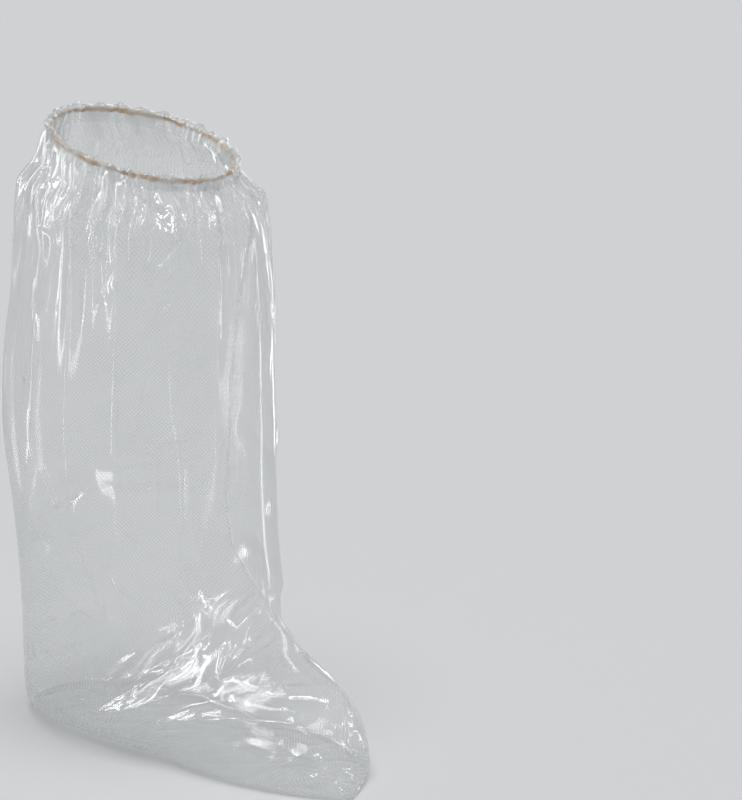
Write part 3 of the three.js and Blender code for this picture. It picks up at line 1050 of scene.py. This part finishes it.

# %% [markdown]
# ## The elastic's finish
#
# Natural rubber thread is matt and tan. Fine noise varies its tone and its roughness at random.

# %% Elastic material


def tan_rubber_finish():
    """Matt tan rubber thread."""
    material, tree, shader = new_material("tan_rubber_finish")
    place = tree.nodes.new("ShaderNodeTexCoord")
    tone = place_group(tree, cloudiness, Scale=260.0, Low=0.0, High=1.0)
    rough = place_group(tree, cloudiness, Scale=500.0, Low=0.6, High=0.8)
    for node in (tone, rough):
        tree.links.new(place.outputs["Object"], node.inputs["Vector"])
    colours = tree.nodes.new("ShaderNodeMix")
    colours.data_type = "RGBA"
    colours.inputs["A"].default_value = (0.50, 0.27, 0.09, 1)
    colours.inputs["B"].default_value = (0.78, 0.48, 0.19, 1)
    tree.links.new(tone.outputs["Value"], colours.inputs["Factor"])
    tree.links.new(colours.outputs["Result"], shader.inputs["Base Color"])
    tree.links.new(rough.outputs["Value"], shader.inputs["Roughness"])
    return material


elastic.data.materials.append(tan_rubber_finish())
print("elastic finish:", elastic.data.materials[0].name)

# %% [markdown]
# ## Floor, light and camera
#
# Clear film is nothing without something to reflect. A soft sun and a pale sky light the floor evenly, and
# long soft boxes stand round the cover, so that every fold carries a bright line along its crest. The sun is
# left out of the gloss, because its wide disc would blur those lines.

# %% Floor
FLOOR_SIZE = 14.0
FLOOR_GAP = 0.2 * MM


def make_floor():
    """A plain pale floor just under the film."""
    half = FLOOR_SIZE / 2
    low = cad_box[0].z - FLOOR_GAP
    mesh = bpy.data.meshes.new("floor")
    corners = [(-half, -half, low), (half, -half, low), (half, half, low), (-half, half, low)]
    mesh.from_pydata(corners, [], [(0, 1, 2, 3)])
    material, _, shader = new_material("floor_finish")
    shader.inputs["Base Color"].default_value = (0.71, 0.72, 0.73, 1)
    shader.inputs["Roughness"].default_value = 0.9
    shader.inputs["Specular IOR Level"].default_value = 0.0
    mesh.materials.append(material)
    add_object("floor", mesh)


make_floor()

# %% Lights


def aim(thing, target):
    """Turns a lamp or camera to look at a point."""
    direction = Vector(target) - thing.location
    thing.rotation_euler = direction.to_track_quat("-Z", "Y").to_euler()


def add_lamp(name, kind, place, target, **settings):
    """A lamp at a place, aimed at a target."""
    data = bpy.data.lights.new(name, kind)
    for label, value in settings.items():
        setattr(data, label, value)
    lamp = add_object(name, data)
    lamp.location = place
    aim(lamp, target)
    return lamp


SOFT_BOXES = table("name place width height power", [
    ("overhead strip", (0.42, -0.62, 2.3), 0.10, 1.8, 7),
    ("high right strip", (0.46, -1.5, 1.94), 0.14, 1.2, 8),
    ("side strip", (-0.03, -2.03, 1.23), 0.2, 0.8, 7),
    ("back right strip", (-1.6, -1.05, 1.25), 0.14, 1.8, 10),
    ("low right panel", (-1.45, -1.6, 0.5), 0.3, 0.95, 8),
    ("low back panel", (-1.94, -0.67, 0.7), 0.3, 0.6, 5),
    ("far right strip", (-0.6, -2.1, 0.8), 0.12, 1.4, 6.5),
    ("back left strip", (-1.0, 1.5, 1.65), 0.16, 1.8, 9),
    ("front strip", (2.0, -0.9, 1.25), 0.12, 1.6, 7),
    ("left strip", (0.9, 2.0, 1.2), 0.12, 1.6, 4.5),
    ("low left panel", (-0.9, 1.9, 0.5), 0.25, 0.9, 5),
    ("floor strip a", (-0.46, -0.42, 0.17), 0.035, 0.32, 0.3),
    ("floor strip b", (-0.10, -0.62, 0.17), 0.025, 0.32, 0.2),
    ("floor strip c", (0.24, -0.60, 0.17), 0.03, 0.32, 0.2),
    ("floor strip d", (-0.22, 0.62, 0.17), 0.03, 0.32, 0.2),
    ("floor strip e", (0.20, 0.60, 0.17), 0.03, 0.32, 0.2),
])
TARGET = (0.06, 0.0, 0.22)
SUN = {"energy": 2.2, "angle": math.radians(40)}
SKY_COLOUR = (0.93, 0.96, 1.0, 1)
SKY_STRENGTH = 0.2
for box in SOFT_BOXES:
    lamp = add_lamp(box["name"], "AREA", box["place"], TARGET, shape="RECTANGLE", size=box["width"],
                    size_y=box["height"], energy=box["power"])
    lamp.visible_diffuse = False
    lamp.visible_camera = False
sun = add_lamp("soft sun", "SUN", (0.3, -0.3, 3.0), TARGET, **SUN)
sun.visible_glossy = False
world = bpy.data.worlds.new("studio")
world.use_nodes = True
sky = world.node_tree.nodes["Background"]
sky.inputs["Color"].default_value = SKY_COLOUR
sky.inputs["Strength"].default_value = SKY_STRENGTH
bpy.context.scene.world = world
bpy.context.scene.view_settings.view_transform = "Standard"
print(len(SOFT_BOXES), "soft boxes and a soft sun")

# %% Camera
CAMERA_PLACE = (3.6134, -3.1995, 1.6619)
CAMERA_TARGET = (0.1360, 0.1025, 0.2397)
METRES_ACROSS_LONG_SIDE = 0.552


def make_camera():
    """A far camera, at the photograph's angle to the cover and with its framing."""
    data = bpy.data.cameras.new("camera")
    camera = add_object("camera", data)
    camera.location = CAMERA_PLACE
    aim(camera, CAMERA_TARGET)
    distance = (Vector(CAMERA_TARGET) - camera.location).length
    data.lens = data.sensor_width * distance / METRES_ACROSS_LONG_SIDE
    bpy.context.scene.camera = camera
    return camera


camera = make_camera()
print("lens", round(camera.data.lens), "mm")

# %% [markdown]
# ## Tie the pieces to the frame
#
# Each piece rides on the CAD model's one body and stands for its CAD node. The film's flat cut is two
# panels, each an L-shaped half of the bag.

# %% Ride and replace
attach(clear_film, "root")
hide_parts("film_bag")
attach(elastic, "root")
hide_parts("elastic_band")
